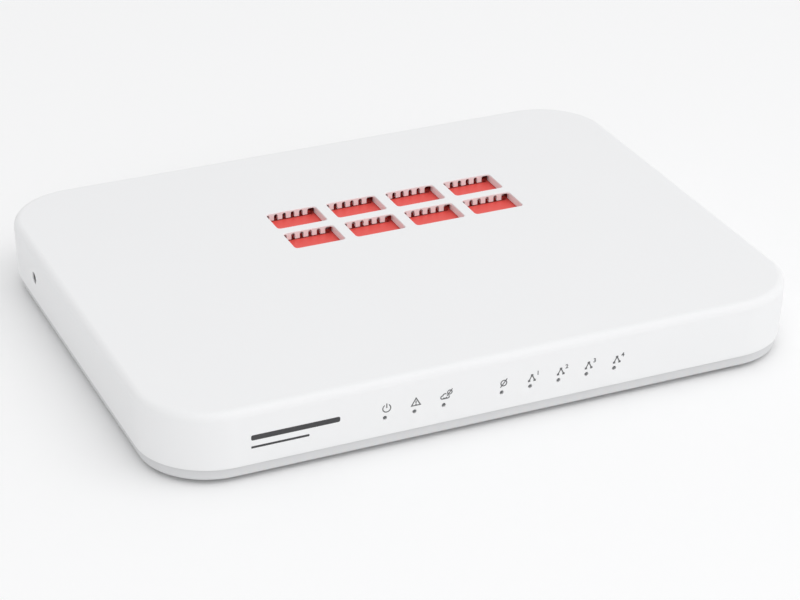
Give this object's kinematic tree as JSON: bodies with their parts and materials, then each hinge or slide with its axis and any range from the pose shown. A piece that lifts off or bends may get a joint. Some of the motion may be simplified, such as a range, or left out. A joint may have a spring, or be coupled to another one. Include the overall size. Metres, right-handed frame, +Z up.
{
  "type": "firewall appliance",
  "caption": "Low white desktop firewall with a soft-edged plastic case, a windowed roof vent over a red baffle, front indicators and rear network sockets.",
  "frame": {"origin": "under the middle of the case, on the surface that the feet stand on", "axes": "+X right as seen from the front, along the longest side; +Y to the sockets at the rear; +Z up"},
  "size_m": [0.21, 0.16, 0.0237],
  "materials": {
    "cover_white": "satin, very fine moulded grain",
    "base_grey": "satin, fine moulded grain",
    "baffle_red": "satin",
    "board_green": "semi-gloss solder mask",
    "jack_black": "satin",
    "button_black": "satin",
    "steel": "plated, folded sheet",
    "screw_steel": "zinc plated",
    "gold": "gold plated spring wire",
    "usb_white": "satin",
    "light_pipe_clear": "clear moulded rod",
    "lamp_white": "moulded lamp body",
    "chip_black": "matt moulded package",
    "aluminium": "bright, lightly brushed",
    "thermal_grey": "soft pad",
    "inductor_grey": "ferrite",
    "foot_rubber": "matt",
    "label_silver": "blank film"
  },
  "bodies": {
    "root": {"board_screw_front_left": "screw_steel", "board_screw_front_right": "screw_steel", "board_screw_rear_left": "screw_steel", "board_screw_rear_right": "screw_steel", "bottom_case": "base_grey", "case_screw_front_left": "screw_steel", "case_screw_front_right": "screw_steel", "case_screw_rear_left": "screw_steel", "case_screw_rear_right": "screw_steel", "clock_crystal": "steel", "console_jack": "jack_black", "filter_capacitor_left": "aluminium", "filter_capacitor_right": "aluminium", "flash_chip": "chip_black", "foot_front_left": "foot_rubber", "foot_front_right": "foot_rubber", "foot_rear_left": "foot_rubber", "foot_rear_right": "foot_rubber", "heatsink": "aluminium", "lan_jack": "jack_black", "lan_jack_shield": "steel", "lan_transformer_left": "chip_black", "lan_transformer_right": "chip_black", "main_board": "board_green", "memory_chip_left": "chip_black", "memory_chip_right": "chip_black", "network_switch_chip": "chip_black", "port_lamp_1": "lamp_white", "port_lamp_2": "lamp_white", "port_lamp_3": "lamp_white", "port_lamp_4": "lamp_white", "port_lamp_5": "lamp_white", "port_light_pipe": "light_pipe_clear", "power_inductor": "inductor_grey", "power_jack": "jack_black", "power_jack_pin": "steel", "processor": "chip_black", "rating_label": "label_silver", "rear_panel": "cover_white", "reset_switch": "jack_black", "status_lamp_1": "lamp_white", "status_lamp_2": "lamp_white", "status_lamp_3": "lamp_white", "status_light_pipe": "light_pipe_clear", "thermal_pad": "thermal_grey", "top_cover": "cover_white", "usb_core": "usb_white", "usb_shell": "steel", "vent_baffle": "baffle_red", "wan_jack": "jack_black", "wan_jack_shield": "steel", "wan_transformer": "chip_black"},
    "reset_button": {"reset_button": "button_black"},
    "lan_contacts_1": {"lan_contacts_1": "gold"},
    "lan_contacts_2": {"lan_contacts_2": "gold"},
    "lan_contacts_3": {"lan_contacts_3": "gold"},
    "lan_contacts_4": {"lan_contacts_4": "gold"},
    "wan_contacts": {"wan_contacts": "gold"},
    "console_contacts": {"console_contacts": "gold"}
  },
  "joints": [
    {"name": "reset_press", "type": "slide", "parent": "root", "child": "reset_button", "axis": [1, 0, 0], "range_m": [0, 0.0008], "stiffness_N_per_m": 1500, "springref_m": -0.0004},
    {"name": "lan_contacts_1_flex", "type": "hinge", "parent": "root", "child": "lan_contacts_1", "pos_m": [0.013, 0.076, 0.0175], "axis": [-1, 0, 0], "range_deg": [0, 10], "stiffness_Nm_per_rad": 0.3},
    {"name": "lan_contacts_2_flex", "type": "hinge", "parent": "root", "child": "lan_contacts_2", "pos_m": [-0.001, 0.076, 0.0175], "axis": [-1, 0, 0], "range_deg": [0, 10], "stiffness_Nm_per_rad": 0.3},
    {"name": "lan_contacts_3_flex", "type": "hinge", "parent": "root", "child": "lan_contacts_3", "pos_m": [-0.015, 0.076, 0.0175], "axis": [-1, 0, 0], "range_deg": [0, 10], "stiffness_Nm_per_rad": 0.3},
    {"name": "lan_contacts_4_flex", "type": "hinge", "parent": "root", "child": "lan_contacts_4", "pos_m": [-0.029, 0.076, 0.0175], "axis": [-1, 0, 0], "range_deg": [0, 10], "stiffness_Nm_per_rad": 0.3},
    {"name": "wan_contacts_flex", "type": "hinge", "parent": "root", "child": "wan_contacts", "pos_m": [-0.052, 0.076, 0.0175], "axis": [-1, 0, 0], "range_deg": [0, 10], "stiffness_Nm_per_rad": 0.3},
    {"name": "console_contacts_flex", "type": "hinge", "parent": "root", "child": "console_contacts", "pos_m": [0.052, 0.076, 0.0175], "axis": [-1, 0, 0], "range_deg": [0, 10], "stiffness_Nm_per_rad": 0.3}
  ]
}
